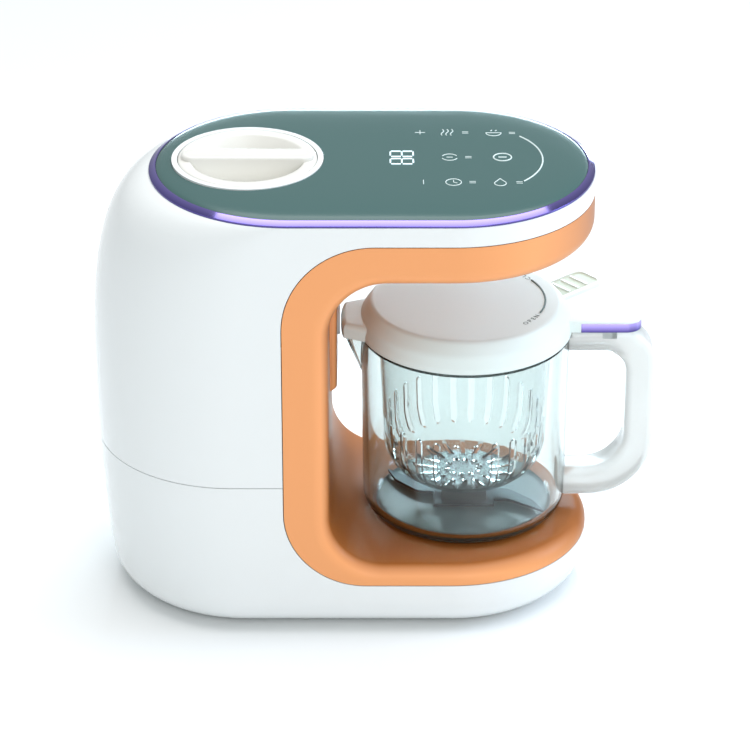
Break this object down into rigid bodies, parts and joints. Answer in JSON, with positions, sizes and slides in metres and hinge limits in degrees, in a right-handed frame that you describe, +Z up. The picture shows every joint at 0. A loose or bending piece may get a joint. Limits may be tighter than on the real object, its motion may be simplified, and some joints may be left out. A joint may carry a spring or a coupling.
{
  "type": "baby food maker",
  "caption": "Pebble-shaped baby food steamer and blender: a column with a water tank, an arm with a touch panel, and a tray that holds a clear lidded jar with a steaming basket and a blade.",
  "frame": {"origin": "on the table under the middle of the whole machine, jar handle included", "axes": "+X along the body from the column to the jar handle, +Y to the back, +Z up"},
  "size_m": [0.312, 0.155, 0.2584],
  "materials": {
    "shell_white": "glossy moulded ABS",
    "liner_orange": "satin moulded ABS",
    "panel_glass": "tinted gloss panel",
    "trim_plated": "lilac plated plastic",
    "deck_white": "moulded inner frame",
    "tank_clear": "clear moulded tank",
    "jar_clear": "clear moulded copolyester",
    "lid_white": "satin polypropylene",
    "tab_beige": "satin polypropylene",
    "silicone": "soft silicone",
    "steel": "ground stainless steel",
    "zinc": "pressed sheet and castings",
    "hub_grey": "filled nylon",
    "rubber_dark": "moulded rubber",
    "board_green": "circuit board laminate",
    "display_dark": "display block"
  },
  "bodies": {
    "body": {"upper_shell": "shell_white", "lower_shell": "shell_white", "liner": "liner_orange", "top_deck": "deck_white", "trim_ring": "trim_plated", "top_panel": "panel_glass", "filler_collar": "shell_white", "water_tank": "tank_clear", "chassis": "zinc", "motor": "zinc", "boiler": "zinc", "water_pump": "hub_grey", "power_board": "board_green", "steam_hose": "silicone", "water_hose": "silicone", "feed_hose": "silicone", "steam_nozzle": "deck_white", "nozzle_seal": "silicone", "control_board": "board_green", "display_module": "display_dark", "drive_belt": "rubber_dark", "bearing_lower": "steel", "bearing_upper": "steel", "drive_plate": "zinc", "tray_seal": "silicone", "feet": "rubber_dark", "power_inlet": "deck_white"},
    "motor_rotor": {"motor_shaft": "steel", "motor_pulley": "hub_grey"},
    "drive": {"output_shaft": "steel", "output_pulley": "hub_grey", "drive_coupler": "hub_grey"},
    "cap_lifter": {"cap_seal": "silicone"},
    "cap": {"tank_cap": "shell_white", "cap_grip": "shell_white", "cap_inlay": "shell_white"},
    "jar": {"jar": "jar_clear", "jar_handle": "lid_white", "basket": "jar_clear", "basket_tab": "tab_beige", "blade_bush": "hub_grey"},
    "blade": {"blade": "steel", "blade_hub": "hub_grey", "blade_shaft": "steel", "blade_coupling": "hub_grey"},
    "lid_lifter": {"lid_seal": "silicone"},
    "lid": {"lid": "lid_white", "lid_trim": "trim_plated"}
  },
  "joints": [
    {"name": "tank_cap_lift", "type": "slide", "parent": "body", "child": "cap_lifter", "axis": [0, 0, 1], "range_m": [0, 0.045]},
    {"name": "tank_cap_turn", "type": "hinge", "parent": "cap_lifter", "child": "cap", "pos_m": [-0.0692, 0, 0.25], "axis": [0, 0, 1], "range_deg": [0, 60]},
    {"name": "jar_lift", "type": "slide", "parent": "body", "child": "jar", "axis": [0, 0, 1], "range_m": [0, 0.018]},
    {"name": "lid_lift", "type": "slide", "parent": "jar", "child": "lid_lifter", "axis": [0, 0, 1], "range_m": [0, 0.022]},
    {"name": "lid_turn", "type": "hinge", "parent": "lid_lifter", "child": "lid", "pos_m": [0.0503, 0, 0.16], "axis": [0, 0, 1], "range_deg": [-40, 0]},
    {"name": "drive_spin", "type": "hinge", "parent": "body", "child": "drive", "pos_m": [0.0503, 0, 0.02], "axis": [0, 0, 1], "continuous": true},
    {"name": "motor_spin", "type": "hinge", "parent": "body", "child": "motor_rotor", "pos_m": [-0.103, 0, 0.02], "axis": [0, 0, 1], "continuous": true},
    {"name": "blade_spin", "type": "hinge", "parent": "jar", "child": "blade", "pos_m": [0.0503, 0, 0.05], "axis": [0, 0, 1], "continuous": true}
  ],
  "couplings": [
    {"joint": "motor_spin", "follows": "drive_spin", "ratio": 2},
    {"joint": "blade_spin", "follows": "drive_spin", "ratio": 1}
  ]
}
